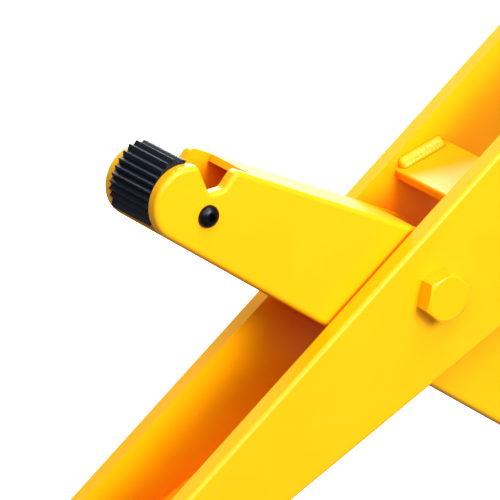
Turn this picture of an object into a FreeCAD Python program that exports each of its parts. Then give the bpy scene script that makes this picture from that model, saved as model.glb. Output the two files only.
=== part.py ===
import FreeCAD, Part
import math
import os

# Scissor wheel chock: two steel channel arms crossed on one pivot bolt.
# Millimetres, +Z up, +Y away from the bolt head. The pivot axis lies along Y above the origin.

# Plate and widths
outer_plate = 8.0
inner_plate = 5.0
outer_web = 5.0
inner_web = 3.0
inner_width = 36.0
side_gap = 2.0
edge_round = 2.0

# Outer arm profile, in the arm's own frame with the pivot at 0, 0
outer_reach_low = 166.0
outer_reach_high = 128.5
outer_edge = 24.7
outer_shoulder = 15.8
outer_peak_along = 22.0
outer_peak_depth = 39.2
outer_rest_angle = 37.0
outer_web_stop = 47.0

# Inner arm profile
inner_reach_high = 129.8
inner_reach_low = 133.9
inner_edge = 33.4
inner_shoulder = 21.2
inner_peak_depth = 21.2
inner_web_stop_high = 15.0
inner_web_stop_low = 34.0
peak_round = 25.0

# Ears, noses and relief notches
lobe_radius = 15.4
nose_front = 16.6
nose_half_height = 15.0
nose_full_top = 3.8
nose_full_bottom = 2.2
nose_rib_depth = 1.8
nose_ribs = 11
nose_arc = 124.0
nose_back = 7.2
tail_length = 19.5
tail_half_height = 6.3
screw_setback = 12.3
lobe_stop = 110.0
lobe_lip = 1.9
lip_round = 2.2
notch_floor_along = 8.0
notch_floor_up = 7.9
floor_round = 2.5
notch_wall_along = 13.4
notch_wall_up = 12.2
notch_width = 14.4
shoulder_round = 3.0
outer_web_setback = 17.0
inner_web_setback = 25.0

# Step plate and its two weld beads, in the outer arm's frame
step_front_along = 31.3
step_front_up = 19.9
step_length = 26.7
step_slope = -21.0
step_thick = 4.6
weld_leg = 4.0
weld_hollow = 0.33

# Pivot hardware
pivot_dia = 12.0
pivot_flats = 19.0
pivot_head = 7.5
pivot_nut = 12.0
pivot_turn = 40.0
washer_dia = 24.0
washer_thick = 2.5
tube_dia = 20.0
bush_barrel_dia = 24.0
bush_flange_dia = 34.0
thread_past_nut = 2.5

# Nose screws
screw_dia = 5.0
screw_head_dia = 9.5
screw_head = 2.75
screw_socket = 3.0
screw_nut_flats = 8.0
screw_nut = 5.0

# Indexing plunger that locks the two arms
index_radius = 28.0
index_angle = -70.0
index_holes = [-40.0, -20.0, 0.0, 20.0]
pin_dia = 6.0
plunger_thread = 12.0
plunger_flats = 17.0
plunger_collar = 6.0
plunger_barrel_dia = 13.0
plunger_barrel = 17.0
chamber_dia = 9.4
chamber_floor = 3.0
pin_collar_dia = 8.8
pin_collar = 2.0
knob_dia = 25.0
knob_height = 12.0
plunger_stroke = 7.0
spring_wire = 0.8
spring_turns = 5.0

# Clearances
hole_clear = 0.2
run_clear = 0.05
bush_side_clear = 0.1

# Sizes that follow
outer_gap = inner_width + 2.0 * side_gap
outer_width = outer_gap + 2.0 * outer_plate
inner_gap = inner_width - 2.0 * inner_plate
outer_nose_up = outer_edge - lobe_radius
inner_nose_down = inner_edge - lobe_radius
outer_rest = math.radians(outer_rest_angle)
low_nose_drop = outer_reach_low * math.sin(outer_rest) - outer_nose_up * math.cos(outer_rest)
nose_drop = nose_back * math.sin(outer_rest) + nose_half_height * math.cos(outer_rest)
pivot_height = low_nose_drop + nose_drop
inner_span = math.hypot(inner_reach_low, inner_nose_down)
inner_rest = math.atan2(inner_nose_down, inner_reach_low) - math.asin(low_nose_drop / inner_span)
inner_rest_angle = math.degrees(inner_rest)


def point(along, y, up):
    return FreeCAD.Vector(along, y, up)


def corner_points(before, here, after, radius):
    """Tangent points and mid point of an arc that rounds one corner."""
    back = (before - here).normalize()
    ahead = (after - here).normalize()
    half = back.getAngle(ahead) / 2.0
    reach = radius / math.tan(half)
    middle = (back + ahead).normalize()
    depth = radius / math.sin(half) - radius
    return here + back * reach, here + middle * depth, here + ahead * reach


def outline(corners, y):
    """Closed wire in the XZ plane; each corner is along, up and rounding radius."""
    edges = []
    starts = []
    count = len(corners)
    for i in range(count):
        here = point(corners[i][0], y, corners[i][1])
        before = point(corners[i - 1][0], y, corners[i - 1][1])
        after = point(corners[(i + 1) % count][0], y, corners[(i + 1) % count][1])
        if corners[i][2] > 0.0:
            starts.append(corner_points(before, here, after, corners[i][2]))
        else:
            starts.append((here, None, here))
    for i in range(count):
        first, middle, last = starts[i]
        following = starts[(i + 1) % count][0]
        if middle is not None:
            edges.append(Part.Arc(first, middle, last).toShape())
        if last.distanceToPoint(following) > 0.001:
            edges.append(Part.makeLine(last, following))
    return Part.Wire(edges)


def slab(corners, y_from, y_to):
    """Plate cut to an outline, between two Y positions."""
    face = Part.Face(outline(corners, y_from))
    return face.extrude(FreeCAD.Vector(0, y_to - y_from, 0))


def rod(along, up, diameter, y_from, y_to):
    """Round bar along Y."""
    axis = FreeCAD.Vector(0, 1, 0)
    return Part.makeCylinder(diameter / 2.0, y_to - y_from, point(along, y_from, up), axis)


def hexagon(along, up, flats, start, y_from, y_to, bevel_at_low, bevel_at_high):
    """Hexagonal bar along Y, first corner at start degrees, turned bevels on the chosen ends."""
    radius = flats / math.sqrt(3.0)
    corners = []
    for i in range(6):
        turn = math.radians(60.0 * i + start)
        corners.append((along + radius * math.cos(turn), up + radius * math.sin(turn), 0.0))
    body = slab(corners, y_from, y_to)
    rise = (radius - flats / 2.0) * 0.62
    steps = [(0.0, y_from)]
    if bevel_at_low:
        steps.append((flats * 0.475, y_from))
        steps.append((radius + 0.2, y_from + rise))
    else:
        steps.append((radius + 0.2, y_from))
    if bevel_at_high:
        steps.append((radius + 0.2, y_to - rise))
        steps.append((flats * 0.475, y_to))
    else:
        steps.append((radius + 0.2, y_to))
    steps.append((0.0, y_to))
    return body.common(turned(along, up, steps))


def turned(along, up, steps):
    """Turned solid about a Y axis; steps are radius and y."""
    points = [point(along + r, y, up) for r, y in steps]
    points.append(points[0])
    face = Part.Face(Part.makePolygon(points))
    return face.revolve(point(along, 0, up), FreeCAD.Vector(0, 1, 0), 360)


def soften(solid, y):
    """Round the outline edges of a plate on the face at one Y position."""
    edges = []
    for edge in solid.Edges:
        if abs(edge.BoundBox.YMin - y) < 0.01 and abs(edge.BoundBox.YMax - y) < 0.01:
            edges.append(edge)
    return solid.makeFillet(edge_round, edges)


def on_outer(shape):
    """Move a shape from the outer arm's frame to the resting chock."""
    placed = shape.copy()
    placed.rotate(point(0, 0, 0), FreeCAD.Vector(0, -1, 0), outer_rest_angle)
    placed.translate(point(0, 0, pivot_height))
    return placed


def on_inner(shape):
    """Move a shape from the inner arm's frame to the resting chock."""
    placed = shape.copy()
    placed.rotate(point(0, 0, 0), FreeCAD.Vector(0, -1, 0), inner_rest_angle)
    placed.translate(point(0, 0, pivot_height))
    return placed


def arm_corners(reach_low, reach_high, edge, shoulder, peak_along, peak_depth, side):
    """Outline of one arm; side is +1 with the web on the upper edge and -1 on the lower."""
    nose = -edge + lobe_radius
    turn = math.radians(lobe_stop)
    tangent_up = lobe_radius * (1.0 + math.cos(turn)) / math.sin(turn)
    lip_along = lobe_radius * math.cos(turn) + lobe_lip * math.sin(turn)
    lip_up = lobe_radius * math.sin(turn) - lobe_lip * math.cos(turn)
    corners = [
        (-reach_low - lobe_radius, -edge, lobe_radius),
        (-reach_low - lobe_radius, nose + tangent_up, lobe_radius),
        (-reach_low + lip_along, nose + lip_up, lip_round),
        (-reach_low + notch_floor_along, nose + notch_floor_up, floor_round),
        (-reach_low + notch_wall_along, nose + notch_wall_up, floor_round),
        (-reach_low + notch_width, nose + shoulder, shoulder_round),
        (peak_along, peak_depth, peak_round),
        (reach_high - notch_width, nose + shoulder, shoulder_round),
        (reach_high - notch_wall_along, nose + notch_wall_up, floor_round),
        (reach_high - notch_floor_along, nose + notch_floor_up, floor_round),
        (reach_high - lip_along, nose + lip_up, lip_round),
        (reach_high + lobe_radius, nose + tangent_up, lobe_radius),
        (reach_high + lobe_radius, -edge, lobe_radius),
    ]
    return [(x, side * z, r) for x, z, r in corners]


def web_corners(reach, shoulder_up, peak_along, peak_depth, setback, stop, thick, direction, side):
    """Outline of the web strip that closes the channel on one half of an arm."""
    start = direction * (reach - setback)
    finish = direction * stop
    knee = direction * (reach - notch_width)
    slope = (peak_depth - shoulder_up) / (peak_along - knee)
    drop = thick * math.hypot(1.0, slope)
    top_start = shoulder_up + slope * (start - knee)
    top_finish = shoulder_up + slope * (finish - knee)
    corners = [
        (start, side * top_start, 0.0),
        (finish, side * top_finish, 0.0),
        (finish, side * (top_finish - drop), 0.0),
        (start, side * (top_start - drop), 0.0),
    ]
    return corners


def nose_screw_holes(positions, dia, width):
    holes = []
    for along, up in positions:
        holes.append(rod(along, up, dia, -width, width))
    return holes


def index_point():
    turn = math.radians(index_angle)
    return index_radius * math.cos(turn), index_radius * math.sin(turn)


def outer_screws():
    low = (-outer_reach_low + screw_setback, outer_nose_up)
    high = (outer_reach_high - screw_setback, outer_nose_up)
    return low, high


def inner_screws():
    high = (-inner_reach_high + screw_setback, -inner_nose_down)
    low = (inner_reach_low - screw_setback, -inner_nose_down)
    return high, low


def make_outer_arm():
    corners = arm_corners(
        outer_reach_low, outer_reach_high, outer_edge, outer_shoulder,
        outer_peak_along, outer_peak_depth, -1.0,
    )
    near = slab(corners, -outer_width / 2.0, -outer_gap / 2.0)
    far = slab(corners, outer_gap / 2.0, outer_width / 2.0)
    near = soften(near, -outer_width / 2.0)
    far = soften(far, outer_width / 2.0)
    shoulder_up = -outer_edge + lobe_radius + outer_shoulder
    strip = web_corners(
        outer_reach_low, shoulder_up, outer_peak_along, outer_peak_depth,
        outer_web_setback, outer_web_stop, outer_web, -1.0, -1.0,
    )
    web = slab(strip, -outer_gap / 2.0, outer_gap / 2.0)
    arm = near.fuse([far, web])
    for hole in nose_screw_holes(outer_screws(), screw_dia + 2.0 * hole_clear, outer_width):
        arm = arm.cut(hole)
    arm = arm.cut(rod(0, 0, pivot_dia + hole_clear, -outer_width, outer_width))
    along, up = index_point()
    arm = arm.cut(rod(along, up, plunger_thread, 0, outer_width))
    return on_outer(arm.removeSplitter())


def make_inner_arm():
    corners = arm_corners(
        inner_reach_high, inner_reach_low, inner_edge, inner_shoulder, 0.0, inner_peak_depth, 1.0,
    )
    near = slab(corners, -inner_width / 2.0, -inner_gap / 2.0)
    far = slab(corners, inner_gap / 2.0, inner_width / 2.0)
    near = soften(near, -inner_width / 2.0)
    far = soften(far, inner_width / 2.0)
    shoulder_up = -inner_edge + lobe_radius + inner_shoulder
    upper = web_corners(
        inner_reach_high, shoulder_up, 0.0, inner_peak_depth,
        inner_web_setback, inner_web_stop_high, inner_web, -1.0, 1.0,
    )
    lower = web_corners(
        inner_reach_low, shoulder_up, 0.0, inner_peak_depth,
        inner_web_setback, inner_web_stop_low, inner_web, 1.0, 1.0,
    )
    web_high = slab(upper, -inner_gap / 2.0, inner_gap / 2.0)
    web_low = slab(lower, -inner_gap / 2.0, inner_gap / 2.0)
    arm = near.fuse([far, web_high, web_low])
    for hole in nose_screw_holes(inner_screws(), screw_dia + 2.0 * hole_clear, inner_width):
        arm = arm.cut(hole)
    arm = arm.cut(rod(0, 0, bush_barrel_dia, -inner_width, inner_width))
    start = outer_rest_angle + index_angle - inner_rest_angle
    for stop in index_holes:
        turn = math.radians(start + stop)
        along = index_radius * math.cos(turn)
        up = index_radius * math.sin(turn)
        arm = arm.cut(rod(along, up, pin_dia + 2.0 * hole_clear, 0, inner_width))
    return on_inner(arm.removeSplitter())


def rib_radius(turn):
    """Distance from a nose's centre to its rib tips, fuller towards the upper corner."""
    full = nose_full_top if math.sin(turn) > 0.0 else nose_full_bottom
    ahead = abs(math.cos(turn) / nose_front) ** full
    across = abs(math.sin(turn) / nose_half_height) ** full
    return (ahead + across) ** (-1.0 / full)


def make_nose(width, direction, along, up):
    """Ribbed rubber nose with a tail for its screw; direction points out of the arm."""
    corners = []
    pitch = nose_arc / nose_ribs
    first = 180.0 - nose_arc / 2.0
    for i in range(nose_ribs):
        tip = math.radians(first + pitch * (i + 0.5))
        radius = rib_radius(tip)
        corners.append((radius * math.cos(tip), radius * math.sin(tip), 0.3))
        if i < nose_ribs - 1:
            root = math.radians(first + pitch * (i + 1.0))
            radius = rib_radius(root) - nose_rib_depth
            corners.append((radius * math.cos(root), radius * math.sin(root), 0.0))
    corners.append((-nose_back, -nose_half_height, 0.2))
    corners.append((-nose_back, -tail_half_height, 1.5))
    corners.append((tail_length, -tail_half_height, tail_half_height))
    corners.append((tail_length, tail_half_height, tail_half_height))
    corners.append((-nose_back, tail_half_height, 1.5))
    corners.append((-nose_back, nose_half_height, 0.2))
    turned_corners = [(along - direction * x, up + z, r) for x, z, r in corners]
    body = slab(turned_corners, -width / 2.0, width / 2.0)
    hole = rod(along - direction * screw_setback, up, screw_dia + 2.0 * hole_clear, -width, width)
    return body.cut(hole)


def make_screw(along, up, width):
    """Button head screw with its head on the near face."""
    face = -width / 2.0
    radius = screw_head_dia / 2.0
    end = width / 2.0 + screw_nut + 1.0
    head = turned(along, up, [
        (0.0, face),
        (radius, face),
        (radius, face - 0.25 * screw_head),
        (radius * 0.93, face - 0.55 * screw_head),
        (radius * 0.78, face - 0.82 * screw_head),
        (radius * 0.55, face - screw_head),
        (0.0, face - screw_head),
    ])
    shank = rod(along, up, screw_dia, face, end)
    socket = hexagon(
        along, up, screw_socket, 30.0, face - screw_head - 1.0, face - screw_head * 0.35,
        False, False,
    )
    return head.fuse(shank).cut(socket).removeSplitter()


def make_screw_nut(along, up, width):
    """Nylon insert nut on the far face."""
    face = width / 2.0
    body = hexagon(along, up, screw_nut_flats, 30.0, face, face + screw_nut * 0.72, False, True)
    crown = rod(along, up, screw_nut_flats * 0.86, face + screw_nut * 0.7, face + screw_nut)
    bore = rod(along, up, screw_dia, face - 1.0, face + screw_nut + 1.0)
    return body.fuse(crown).cut(bore).removeSplitter()


def make_step_plate():
    turn = math.radians(step_slope)
    ahead = (math.cos(turn), math.sin(turn))
    under = (math.sin(turn), -math.cos(turn))
    front = (step_front_along, step_front_up)
    rear = (front[0] + step_length * ahead[0], front[1] + step_length * ahead[1])
    corners = [
        (front[0], front[1], 1.0),
        (rear[0], rear[1], 1.0),
        (rear[0] + step_thick * under[0], rear[1] + step_thick * under[1], 0.5),
        (front[0] + step_thick * under[0], front[1] + step_thick * under[1], 0.5),
    ]
    return on_outer(slab(corners, -outer_gap / 2.0, outer_gap / 2.0))


def make_weld(side):
    """Fillet bead along one side of the step plate; side is -1 near and +1 far."""
    turn = math.radians(step_slope)
    ahead = FreeCAD.Vector(math.cos(turn), 0, math.sin(turn))
    normal = FreeCAD.Vector(-math.sin(turn), 0, math.cos(turn))
    wall = side * outer_gap / 2.0
    start = point(step_front_along, wall, step_front_up) + ahead * 2.0
    along_plate = start + FreeCAD.Vector(0, -side * weld_leg, 0)
    up_wall = start + normal * weld_leg
    middle = start + (FreeCAD.Vector(0, -side, 0) + normal) * (weld_leg * weld_hollow)
    profile = Part.Wire([
        Part.makeLine(start, along_plate),
        Part.Arc(along_plate, middle, up_wall).toShape(),
        Part.makeLine(up_wall, start),
    ])
    bead = Part.Face(profile).extrude(ahead * (step_length - 4.0))
    return on_outer(bead)


def make_pivot_bolt():
    head_face = -outer_width / 2.0
    end = outer_width / 2.0 + washer_thick + pivot_nut + thread_past_nut
    head = hexagon(
        0, 0, pivot_flats, pivot_turn, head_face - pivot_head, head_face, True, False
    )
    shank = rod(0, 0, pivot_dia, head_face, end - 1.0)
    tip = Part.makeCone(
        pivot_dia / 2.0, pivot_dia / 2.0 - 1.0, 1.0, point(0, end - 1.0, 0), FreeCAD.Vector(0, 1, 0)
    )
    return on_outer(head.fuse([shank, tip]).removeSplitter())


def make_pivot_washer():
    face = outer_width / 2.0
    body = rod(0, 0, washer_dia, face, face + washer_thick)
    return on_outer(body.cut(rod(0, 0, pivot_dia + 2.0 * hole_clear, 0, outer_width)))


def make_pivot_nut():
    face = outer_width / 2.0 + washer_thick
    body = hexagon(0, 0, pivot_flats, pivot_turn, face, face + pivot_nut * 0.72, False, True)
    crown = rod(0, 0, pivot_flats * 0.86, face + pivot_nut * 0.7, face + pivot_nut)
    bore = rod(0, 0, pivot_dia, 0, outer_width)
    return on_outer(body.fuse(crown).cut(bore).removeSplitter())


def make_pivot_tube():
    body = rod(0, 0, tube_dia, -outer_gap / 2.0, outer_gap / 2.0)
    return on_outer(body.cut(rod(0, 0, pivot_dia + hole_clear, -outer_width, outer_width)))


def make_bush(side):
    """Flanged bush in one plate of the inner arm; side is -1 near and +1 far."""
    outer_face = inner_width / 2.0
    barrel = rod(0, 0, bush_barrel_dia, inner_gap / 2.0, outer_face)
    flange = rod(0, 0, bush_flange_dia, outer_face, outer_face + side_gap - bush_side_clear)
    bore = rod(0, 0, tube_dia + 2.0 * run_clear, 0, outer_width)
    bush = barrel.fuse(flange).cut(bore).removeSplitter()
    if side < 0.0:
        bush = bush.mirror(point(0, 0, 0), FreeCAD.Vector(0, 1, 0))
    return on_inner(bush)


def make_plunger_body():
    along, up = index_point()
    inner_face = outer_gap / 2.0
    outer_face = outer_width / 2.0
    top = outer_face + plunger_collar + plunger_barrel
    thread = rod(along, up, plunger_thread, inner_face + 0.5, outer_face)
    collar = hexagon(
        along, up, plunger_flats, 30.0, outer_face, outer_face + plunger_collar, False, True
    )
    barrel = rod(along, up, plunger_barrel_dia, outer_face + plunger_collar, top)
    guide = rod(along, up, pin_dia + 2.0 * run_clear, 0, top + 1.0)
    chamber = rod(along, up, chamber_dia, outer_face + 1.0, top - chamber_floor)
    body = thread.fuse([collar, barrel]).cut(guide).cut(chamber)
    return on_outer(body.removeSplitter())


def plunger_top():
    return outer_width / 2.0 + plunger_collar + plunger_barrel


def make_plunger_pin():
    along, up = index_point()
    tip = outer_gap / 2.0 + 0.5
    end = plunger_top() + plunger_stroke + 8.0
    shank = rod(along, up, pin_dia, tip + 1.0, end)
    nose = Part.makeCone(
        pin_dia / 2.0 - 0.8, pin_dia / 2.0, 1.0, point(along, tip, up), FreeCAD.Vector(0, 1, 0)
    )
    seat = outer_width / 2.0 + 1.0 + plunger_stroke + 0.5
    collar = rod(along, up, pin_collar_dia, seat, seat + pin_collar)
    return on_outer(shank.fuse([nose, collar]).removeSplitter())


def make_plunger_knob():
    along, up = index_point()
    low = plunger_top() + plunger_stroke + 0.3
    high = low + knob_height
    radius = knob_dia / 2.0
    body = turned(along, up, [
        (0.0, low),
        (radius * 0.55, low),
        (radius * 0.62, low + knob_height * 0.25),
        (radius * 0.94, low + knob_height * 0.45),
        (radius, low + knob_height * 0.6),
        (radius * 0.96, low + knob_height * 0.8),
        (radius * 0.8, high - knob_height * 0.04),
        (radius * 0.5, high),
        (0.0, high),
    ])
    end = plunger_top() + plunger_stroke + 8.0
    return on_outer(body.cut(rod(along, up, pin_dia, 0, end)))


def make_plunger_spring():
    along, up = index_point()
    low = outer_width / 2.0 + 1.0 + plunger_stroke + 0.5 + pin_collar + spring_wire / 2.0 + 0.1
    high = plunger_top() - chamber_floor - spring_wire / 2.0 - 0.1
    radius = (pin_dia + chamber_dia) / 4.0
    helix = Part.makeHelix((high - low) / spring_turns, high - low, radius)
    helix.rotate(point(0, 0, 0), FreeCAD.Vector(1, 0, 0), -90)
    helix.translate(point(along, low, up))
    start = helix.Vertexes[0].Point
    circle = Part.makeCircle(spring_wire / 2.0, start, FreeCAD.Vector(0, 0, 1))
    sweep = Part.Wire(helix).makePipeShell([Part.Wire(circle)], True, True)
    return on_outer(sweep)


def save(name, shape):
    shape.exportStep(os.path.join("parts", name + ".step"))


def make_all():
    os.makedirs("parts", exist_ok=True)
    save("outer_arm", make_outer_arm())
    save("inner_arm", make_inner_arm())
    save("step_plate", make_step_plate())
    save("step_weld_near", make_weld(-1.0))
    save("step_weld_far", make_weld(1.0))
    save("pivot_bolt", make_pivot_bolt())
    save("pivot_tube", make_pivot_tube())
    save("pivot_washer", make_pivot_washer())
    save("pivot_nut", make_pivot_nut())
    save("pivot_bush_near", make_bush(-1.0))
    save("pivot_bush_far", make_bush(1.0))
    ends = [("outer_low", -1.0, -outer_reach_low), ("outer_high", 1.0, outer_reach_high)]
    for name, direction, along in ends:
        screw_at = along - direction * screw_setback
        save("nose_" + name, on_outer(make_nose(outer_gap, direction, along, outer_nose_up)))
        save("nose_screw_" + name, on_outer(make_screw(screw_at, outer_nose_up, outer_width)))
        save("nose_nut_" + name, on_outer(make_screw_nut(screw_at, outer_nose_up, outer_width)))
    ends = [("inner_high", -1.0, -inner_reach_high), ("inner_low", 1.0, inner_reach_low)]
    for name, direction, along in ends:
        screw_at = along - direction * screw_setback
        drop = -inner_nose_down
        save("nose_" + name, on_inner(make_nose(inner_gap, direction, along, drop)))
        save("nose_screw_" + name, on_inner(make_screw(screw_at, drop, inner_width)))
        save("nose_nut_" + name, on_inner(make_screw_nut(screw_at, drop, inner_width)))
    save("plunger_body", make_plunger_body())
    save("plunger_pin", make_plunger_pin())
    save("plunger_knob", make_plunger_knob())
    save("plunger_spring", make_plunger_spring())


make_all()
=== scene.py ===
import bpy, math
from mathutils import Matrix, Vector


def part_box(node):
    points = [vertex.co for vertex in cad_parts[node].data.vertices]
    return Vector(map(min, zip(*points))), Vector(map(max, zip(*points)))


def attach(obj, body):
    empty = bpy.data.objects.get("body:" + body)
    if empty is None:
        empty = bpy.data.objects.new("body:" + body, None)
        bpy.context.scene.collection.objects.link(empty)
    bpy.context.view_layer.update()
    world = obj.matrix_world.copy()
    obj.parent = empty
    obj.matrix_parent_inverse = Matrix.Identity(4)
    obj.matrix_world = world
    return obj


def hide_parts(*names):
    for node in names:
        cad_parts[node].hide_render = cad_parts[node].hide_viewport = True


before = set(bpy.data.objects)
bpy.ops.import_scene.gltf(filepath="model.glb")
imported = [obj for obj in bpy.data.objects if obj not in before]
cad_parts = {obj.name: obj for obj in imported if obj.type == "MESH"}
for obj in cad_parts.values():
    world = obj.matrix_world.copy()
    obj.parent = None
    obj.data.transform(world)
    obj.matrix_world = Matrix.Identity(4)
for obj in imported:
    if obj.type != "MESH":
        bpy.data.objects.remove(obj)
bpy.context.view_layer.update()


# ---------------------------------------------------------------------------
# Outer arm. Two 8 mm laser-cut steel flanges and a 5 mm web, welded into a
# channel and powder coated signal yellow. The baked film has faint orange
# peel. Shade deep in the channel is painted into the colour as orange red.
# ---------------------------------------------------------------------------
def linear(hex_colour):
    """sRGB hex to linear RGBA."""
    parts = [int(hex_colour[i:i + 2], 16) / 255.0 for i in (1, 3, 5)]
    return [p / 12.92 if p <= 0.04045 else ((p + 0.055) / 1.055) ** 2.4 for p in parts] + [1.0]


def add(tree, kind, links=None, values=None, **settings):
    """Add a node, set its properties and input values, and link its inputs."""
    made = tree.nodes.new(kind)
    for name, value in settings.items():
        setattr(made, name, value)
    for name, value in (values or {}).items():
        made.inputs[name].default_value = value
    for name, source in (links or {}).items():
        tree.links.new(source, made.inputs[name])
    return made


def blank(name):
    """A material with no nodes yet, and its tree."""
    material = bpy.data.materials.new(name)
    material.use_nodes = True
    material.node_tree.nodes.clear()
    return material, material.node_tree


def paint(material, *names):
    """Give CAD nodes this material."""
    for name in names:
        for material_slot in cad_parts[name].material_slots:
            material_slot.material = material


def make_powder_coat(name, smooth, coarse):
    """Polyester powder coat: an even, saturated yellow with a soft gloss. The peel of a real film
    is 1 to 2 mm across, and the cloudiness is a slow drift in film thickness over the plate. Painted
    shade: where ambient occlusion finds the surface shut in, the base colour is mixed toward orange
    red."""
    thin_film = "#FAAD00"
    full_film = "#FCB500"
    # Painted shade: the orange red below is mixed into the base colour in recesses, not a colour of
    # the film.
    painted_shade_colour = "#F42000"
    peel_mm = 1.6
    peel_height = 0.0003
    cloud_mm = 26.0
    shade_reach = 0.05
    fully_shaded_ao = 0.06
    unshaded_ao = 0.48
    material, tree = blank(name)
    place = add(tree, "ShaderNodeNewGeometry").outputs["Position"]
    peel = add(tree, "ShaderNodeTexNoise", {"Vector": place},
               {"Scale": 1000.0 / peel_mm, "Detail": 3.0, "Roughness": 0.55})
    cloud = add(tree, "ShaderNodeTexNoise", {"Vector": place},
                {"Scale": 1000.0 / cloud_mm, "Detail": 4.0, "Roughness": 0.5})
    film = add(tree, "ShaderNodeMix", {"Factor": cloud.outputs["Fac"]}, data_type="RGBA")
    film.inputs["A"].default_value = linear(thin_film)
    film.inputs["B"].default_value = linear(full_film)
    # Painted shade: ambient occlusion turns the base colour orange red in corners and deep in
    # channels.
    occlusion_for_shade = add(tree, "ShaderNodeAmbientOcclusion", None, {"Distance": shade_reach}, samples=6)
    depth = add(tree, "ShaderNodeMapRange", {"Value": occlusion_for_shade.outputs["AO"]},
                {"From Min": fully_shaded_ao, "From Max": unshaded_ao, "To Min": 0.0, "To Max": 1.0})
    colour = add(tree, "ShaderNodeMix",
                 {"Factor": depth.outputs["Result"], "B": film.outputs["Result"]}, data_type="RGBA")
    colour.inputs["A"].default_value = linear(painted_shade_colour)
    rough = add(tree, "ShaderNodeMapRange", {"Value": cloud.outputs["Fac"]},
                {"From Min": 0.3, "From Max": 0.7, "To Min": smooth, "To Max": coarse})
    bump = add(tree, "ShaderNodeBump", {"Height": peel.outputs["Fac"]},
               {"Strength": 0.15, "Distance": peel_height})
    shader = add(tree, "ShaderNodeBsdfPrincipled",
                 {"Base Color": colour.outputs["Result"], "Roughness": rough.outputs["Result"],
                  "Normal": bump.outputs["Normal"]}, {"IOR": 1.5, "Specular IOR Level": 0.3})
    add(tree, "ShaderNodeOutputMaterial", {"Surface": shader.outputs["BSDF"]})
    return material


powder_coat = make_powder_coat("powder_coat_yellow", 0.30, 0.40)
paint(powder_coat, "outer_arm")


# ---------------------------------------------------------------------------
# Step plate. A 4.6 mm plate welded across the upper half of the outer
# channel, with one fillet bead down each flange, coated with the arm.
# ---------------------------------------------------------------------------
paint(powder_coat, "step_plate")

# Over small rounded parts, such as weld beads and bolt heads, the powder
# flows out thicker and glossier.
glossy_coat = make_powder_coat("powder_coat_yellow_thick", 0.16, 0.24)


def mesh_piece(name, corners, faces, material, smooth=True):
    """Object made from corner points and faces, with one material."""
    mesh = bpy.data.meshes.new(name)
    mesh.from_pydata(corners, [], faces)
    mesh.materials.append(material)
    mesh.update()
    for face in mesh.polygons:
        face.use_smooth = smooth
    piece = bpy.data.objects.new(name, mesh)
    bpy.context.scene.collection.objects.link(piece)
    return piece


def weld_bead(side, node):
    """Hand laid fillet bead, in place of the plain one: full, faintly rippled, and rounded off at
    both ends. Its section is a superellipse between the plate and the flange."""
    leg = 0.0039
    slope = math.radians(16.0)
    fullness = 1.5
    ripple_pitch = 0.0017
    ripple_height = 0.00004
    ripple_lag = 0.0008
    end_round = 0.0022
    end_size = 0.08
    rows = 160
    points = 14
    low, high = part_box(node)
    length = (high.x - low.x - leg * math.sin(slope)) / math.cos(slope)
    ahead = Vector((math.cos(slope), 0.0, math.sin(slope)))
    normal = Vector((-math.sin(slope), 0.0, math.cos(slope)))
    inward = Vector((0.0, -side, 0.0))
    wall = high.y if side > 0 else low.y
    root = Vector((low.x + leg * math.sin(slope), wall, low.z))
    corners = []
    for i in range(rows + 1):
        along = length * i / rows
        to_end = min(1.0, min(along, length - along) / end_round)
        taper = math.sqrt(max(0.0, 1.0 - (1.0 - to_end) ** 2))
        size = end_size + (1.0 - end_size) * taper
        for k in range(points + 1):
            turn = 0.5 * math.pi * k / points
            middle = math.sin(2.0 * turn)
            wave = middle * math.cos(2.0 * math.pi * (along + ripple_lag * middle) / ripple_pitch)
            spread = math.cos(turn) ** fullness + math.sin(turn) ** fullness
            reach = (leg / spread ** (1.0 / fullness) + ripple_height * wave) * size
            outward = inward * math.cos(turn) + normal * math.sin(turn)
            corners.append(root + ahead * along + outward * reach)
        corners.append(root + ahead * along)
    count = points + 2
    faces = []
    for i in range(rows):
        here = i * count
        ahead_row = here + count
        for k in range(count):
            after = (k + 1) % count
            faces.append((here + k, here + after, ahead_row + after, ahead_row + k))
    faces.append(tuple(range(count - 1, -1, -1)))
    faces.append(tuple(rows * count + k for k in range(count)))
    if side < 0:
        faces = [tuple(reversed(face)) for face in faces]
    piece = mesh_piece(node + "_bead", corners, faces, glossy_coat)
    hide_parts(node)
    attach(piece, "outer_body")


weld_bead(-1.0, "step_weld_near")
weld_bead(1.0, "step_weld_far")


# ---------------------------------------------------------------------------
# Inner arm. A narrower channel of 5 mm plate with a 3 mm web above each leg,
# coated the same. It turns between the flanges of the outer arm.
# ---------------------------------------------------------------------------
paint(powder_coat, "inner_arm")


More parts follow.
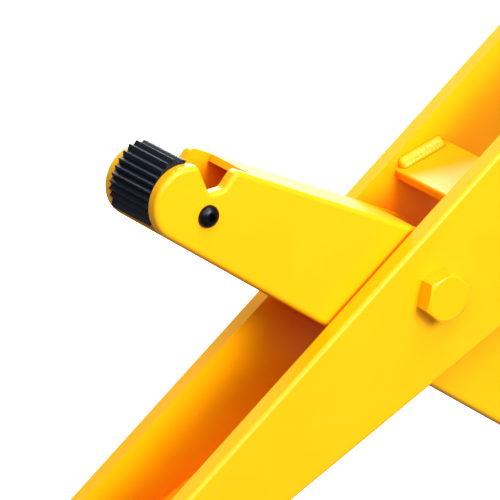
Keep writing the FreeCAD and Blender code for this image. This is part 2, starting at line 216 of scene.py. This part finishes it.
# ---------------------------------------------------------------------------
# Pivot bushes. Flanged nylon bushes pressed into the inner arm, which run on
# the zinc plated tube and keep the arms apart.
# ---------------------------------------------------------------------------
def grained(name, light, dark, grain_mm, smooth, coarse, relief_mm, metallic=0.0, specular=0.5):
    """Material whose fine grain varies its colour, roughness and relief. The grain of a real mould,
    plating or oxide is under 0.1 mm and too fine to show, so it is drawn at 0.5 to 2.4 mm."""
    material, tree = blank(name)
    place = add(tree, "ShaderNodeNewGeometry").outputs["Position"]
    grain = add(tree, "ShaderNodeTexNoise", {"Vector": place},
                {"Scale": 1000.0 / grain_mm, "Detail": 4.0, "Roughness": 0.6})
    colour = add(tree, "ShaderNodeMix", {"Factor": grain.outputs["Fac"]}, data_type="RGBA")
    colour.inputs["A"].default_value = linear(dark)
    colour.inputs["B"].default_value = linear(light)
    rough = add(tree, "ShaderNodeMapRange", {"Value": grain.outputs["Fac"]},
                {"From Min": 0.3, "From Max": 0.7, "To Min": smooth, "To Max": coarse})
    bump = add(tree, "ShaderNodeBump", {"Height": grain.outputs["Fac"]},
               {"Strength": 0.5, "Distance": relief_mm / 1000.0})
    shader = add(tree, "ShaderNodeBsdfPrincipled",
                 {"Base Color": colour.outputs["Result"], "Roughness": rough.outputs["Result"],
                  "Normal": bump.outputs["Normal"]},
                 {"Metallic": metallic, "Specular IOR Level": specular})
    add(tree, "ShaderNodeOutputMaterial", {"Surface": shader.outputs["BSDF"]})
    return material


# Moulded nylon: dull black with a slight waxy sheen and a faint mould texture.
bush_nylon = grained("moulded_nylon_black", "#1B1B1D", "#121214", 0.9, 0.38, 0.50, 0.02)
paint(bush_nylon, "pivot_bush_near", "pivot_bush_far")


# ---------------------------------------------------------------------------
# Pivot bolt, tube, washer and nut. An M12 hexagon bolt whose head was coated
# with the arm, through a zinc plated tube, held by a zinc plated lock nut.
# ---------------------------------------------------------------------------
paint(glossy_coat, "pivot_bolt")

# Bright zinc plate: electroplated steel, cool grey and half bright, clouded a
# little by its clear passivation.
zinc_plate = grained("bright_zinc_plate", "#C4C8CC", "#A4A9AE", 2.4, 0.22, 0.36, 0.01,
                     metallic=1.0)
paint(zinc_plate, "pivot_tube", "pivot_washer", "pivot_nut")

# Nylon lock insert: moulded in a blue that stands out against the plating,
# with the dull sheen of nylon.
insert_nylon = grained("lock_insert_nylon_blue", "#2E6FB8", "#245C9E", 0.8, 0.35, 0.45, 0.02)


def turned(name, centre, profile, material):
    """Turned piece about a Y axis. The profile is a closed loop of (radius, y) points."""
    segments = 64
    count = len(profile)
    corners = []
    faces = []
    for i in range(segments):
        turn = 2.0 * math.pi * i / segments
        ahead = (i + 1) % segments
        for radius, y in profile:
            x = centre.x + radius * math.cos(turn)
            z = centre.z + radius * math.sin(turn)
            corners.append((x, y, z))
        for k in range(count):
            after = (k + 1) % count
            faces.append((i * count + k, i * count + after, ahead * count + after, ahead * count + k))
    return mesh_piece(name, corners, faces, material, smooth=False)


def lock_insert(nut, body, bolt_radius, crown_radius):
    """Nylon insert that stands a little proud of a lock nut's crown."""
    clearance = 0.0001
    depth = 0.0004
    proud = 0.0003
    corner = 0.00015
    low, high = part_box(nut)
    bore = bolt_radius + clearance
    profile = [
        (bore, high.y - depth),
        (crown_radius, high.y - depth),
        (crown_radius, high.y + proud - corner),
        (crown_radius - corner, high.y + proud),
        (bore, high.y + proud),
    ]
    piece = turned(nut + "_insert", (low + high) / 2, profile, insert_nylon)
    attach(piece, body)


def bolt_end(bolt, nut, radius):
    """Zinc plated skin on the end of the bolt, which the coating never reached."""
    skin = 0.00003
    chamfer = 0.001
    centre_hole = 0.00001
    low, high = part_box(bolt)
    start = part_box(nut)[1].y
    profile = [
        (radius + skin, start),
        (radius + skin, high.y - chamfer + skin),
        (radius - chamfer, high.y + skin),
        (centre_hole, high.y + skin),
        (centre_hole, high.y),
        (radius - chamfer, high.y),
        (radius, high.y - chamfer),
        (radius, start),
    ]
    piece = turned(bolt + "_end", (low + high) / 2, profile, zinc_plate)
    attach(piece, "outer_body")


def thread(name, body, centre, y_from, y_to, radius, pitch):
    """Rolled thread on the end of a bolt, as one helical ridge that fades in and out. Each corner
    of its section is a height over the bolt's surface and a share of the pitch."""
    buried = 0.00012
    crest = 0.00028
    section = [(-buried, -0.42), (crest, -0.08), (crest, 0.08), (-buried, 0.42)]
    steps = 32
    fade = 0.3 * steps
    count = int(((y_to - y_from) / pitch - 1.0) * steps)
    corners = []
    faces = []
    for i in range(count + 1):
        turn = 2.0 * math.pi * i / steps
        size = min(1.0, i / fade, (count - i) / fade)
        for height, along in section:
            reach = radius - buried + (height + buried) * size
            y = y_from + pitch * (0.5 + i / steps + along * size)
            corners.append((centre.x + reach * math.cos(turn), y, centre.z + reach * math.sin(turn)))
        if i < count:
            here = i * 4
            for k in range(3):
                faces.append((here + k, here + k + 1, here + k + 5, here + k + 4))
            faces.append((here + 3, here, here + 4, here + 7))
    faces.append((3, 2, 1, 0))
    faces.append(tuple(count * 4 + k for k in range(4)))
    piece = mesh_piece(name, corners, faces, zinc_plate)
    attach(piece, body)


tube_low, tube_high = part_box("pivot_tube")
pivot = (tube_low + tube_high) / 2
bolt_radius = 0.006
nut_crown_radius = 0.0078
thread_pitch = 0.0011
thread_margin = 0.0002
thread_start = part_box("pivot_nut")[1].y + thread_margin
thread_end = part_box("pivot_bolt")[1].y - thread_margin
lock_insert("pivot_nut", "outer_body", bolt_radius, nut_crown_radius)
bolt_end("pivot_bolt", "pivot_nut", bolt_radius)
thread("pivot_bolt_thread", "outer_body", pivot, thread_start, thread_end, bolt_radius, thread_pitch)


# ---------------------------------------------------------------------------
# Rubber noses. Moulded black rubber blocks with straight ribs that bite into
# the tyre tread. Each one sits between the two ears of an arm end.
# ---------------------------------------------------------------------------
# Moulded rubber: near black with a cold sheen on the ribs and a fine matt grain.
nose_rubber = grained("moulded_rubber_black", "#041526", "#020B14", 0.7, 0.44, 0.60, 0.05,
                      specular=0.3)
arm_ends = {"outer_low": "outer_body", "outer_high": "outer_body",
            "inner_high": "inner_body", "inner_low": "inner_body"}
paint(nose_rubber, *["nose_" + end for end in arm_ends])


# ---------------------------------------------------------------------------
# Nose screws and nuts. One M5 button head socket screw holds each nose by
# its tail, with a small zinc plated lock nut on the far ear.
# ---------------------------------------------------------------------------
# Black oxide: oily blue black steel, glossier than the rubber beside it.
black_oxide = grained("black_oxide_steel", "#2B2D33", "#1E2025", 0.8, 0.26, 0.38, 0.01,
                      metallic=1.0)
paint(black_oxide, *["nose_screw_" + end for end in arm_ends])
paint(zinc_plate, *["nose_nut_" + end for end in arm_ends])
screw_radius = 0.0025
small_crown_radius = 0.0034
for end, body in arm_ends.items():
    lock_insert("nose_nut_" + end, body, screw_radius, small_crown_radius)


# ---------------------------------------------------------------------------
# Index plunger. A spring plunger screwed into the far flange of the outer
# arm. Its ground steel pin drops into the index holes of the inner arm.
# ---------------------------------------------------------------------------
paint(black_oxide, "plunger_body")

# Ground steel: bare and bright, with the fine marks of centreless grinding.
# The spring's drawn wire looks much the same.
ground_steel = grained("ground_steel", "#B9BABD", "#9FA1A5", 0.5, 0.18, 0.30, 0.005,
                       metallic=1.0)
paint(ground_steel, "plunger_pin", "plunger_spring")

# Moulded thermoplastic: satin black with a light spark-eroded texture.
knob_plastic = grained("moulded_plastic_black", "#18181A", "#101012", 0.6, 0.34, 0.48, 0.03)
paint(knob_plastic, "plunger_knob")


# ---------------------------------------------------------------------------
# Studio. A white light table under five soft boxes: one in front of the bolt
# head side, two above and to the left of it, and two behind for the nut side
# and the upper edges.
# ---------------------------------------------------------------------------
def make_table():
    """Glowing white acrylic that stays white under the part and casts no light or reflection up."""
    half_width = 6.0
    corners = [(-half_width, -half_width, 0), (half_width, -half_width, 0),
               (half_width, half_width, 0), (-half_width, half_width, 0)]
    material, tree = blank("acrylic_white")
    shader = add(tree, "ShaderNodeBsdfPrincipled", None,
                 {"Base Color": linear("#FFFFFF"), "Roughness": 0.9, "Specular IOR Level": 0.1,
                  "Emission Color": linear("#FFFFFF"), "Emission Strength": 0.5})
    add(tree, "ShaderNodeOutputMaterial", {"Surface": shader.outputs["BSDF"]})
    table = mesh_piece("light_table", corners, [(0, 1, 2, 3)], material, smooth=False)
    table.visible_diffuse = False
    table.visible_glossy = False


def make_light(name, offset, size, power):
    """A square soft box aimed at the pivot that the camera doesn't see."""
    data = bpy.data.lights.new(name, "AREA")
    data.size = size
    data.energy = power
    light = bpy.data.objects.new(name, data)
    bpy.context.scene.collection.objects.link(light)
    light.location = pivot + offset
    light.rotation_mode = "QUATERNION"
    light.rotation_quaternion = (-offset).to_track_quat("-Z", "Y")
    light.visible_camera = False


make_table()
make_light("key", Vector((0.25, -1.6, 0.75)), 0.8, 34.0)
make_light("overhead", Vector((0.15, -0.55, 1.4)), 0.8, 14.0)
make_light("rim", Vector((0.30, 1.18, 0.98)), 0.4, 7.0)
make_light("left_fill", Vector((-0.95, -0.9, 1.15)), 1.2, 15.0)
make_light("back", Vector((0.7, 1.5, 0.5)), 1.2, 42.0)
world = bpy.data.worlds.new("studio")
bpy.context.scene.world = world
world.use_nodes = True
room = world.node_tree.nodes["Background"]
room.inputs["Color"].default_value = linear("#FFFFFF")
room.inputs["Strength"].default_value = 0.28


# ---------------------------------------------------------------------------
# Camera. A long lens from the front left and above, with the pivot to the
# right of the middle of the frame and a little below it.
# ---------------------------------------------------------------------------
azimuth = math.radians(-35.70)
elevation = math.radians(21.86)
roll = math.radians(0.55)
distance = 5.383
view_width = 0.20069
aim_left = 0.0589
aim_up = 0.0087
level = Vector((math.cos(azimuth), math.sin(azimuth), 0.0))
flat_back = Vector((math.sin(azimuth), -math.cos(azimuth), 0.0))
back = flat_back * math.cos(elevation) + Vector((0.0, 0.0, math.sin(elevation)))
across = level * math.cos(roll) + back.cross(level) * math.sin(roll)
up = back.cross(across)
stand = pivot - across * aim_left + up * aim_up + back * distance
camera_data = bpy.data.cameras.new("camera")
camera_data.sensor_width = 36.0
camera_data.lens = camera_data.sensor_width * distance / view_width
camera_data.clip_start = 0.1
camera_data.clip_end = 50.0
camera = bpy.data.objects.new("camera", camera_data)
bpy.context.scene.collection.objects.link(camera)
camera.matrix_world = Matrix((
    (across.x, up.x, back.x, stand.x),
    (across.y, up.y, back.y, stand.y),
    (across.z, up.z, back.z, stand.z),
    (0.0, 0.0, 0.0, 1.0),
))
bpy.context.scene.camera = camera
bpy.context.scene.view_settings.view_transform = "Standard"
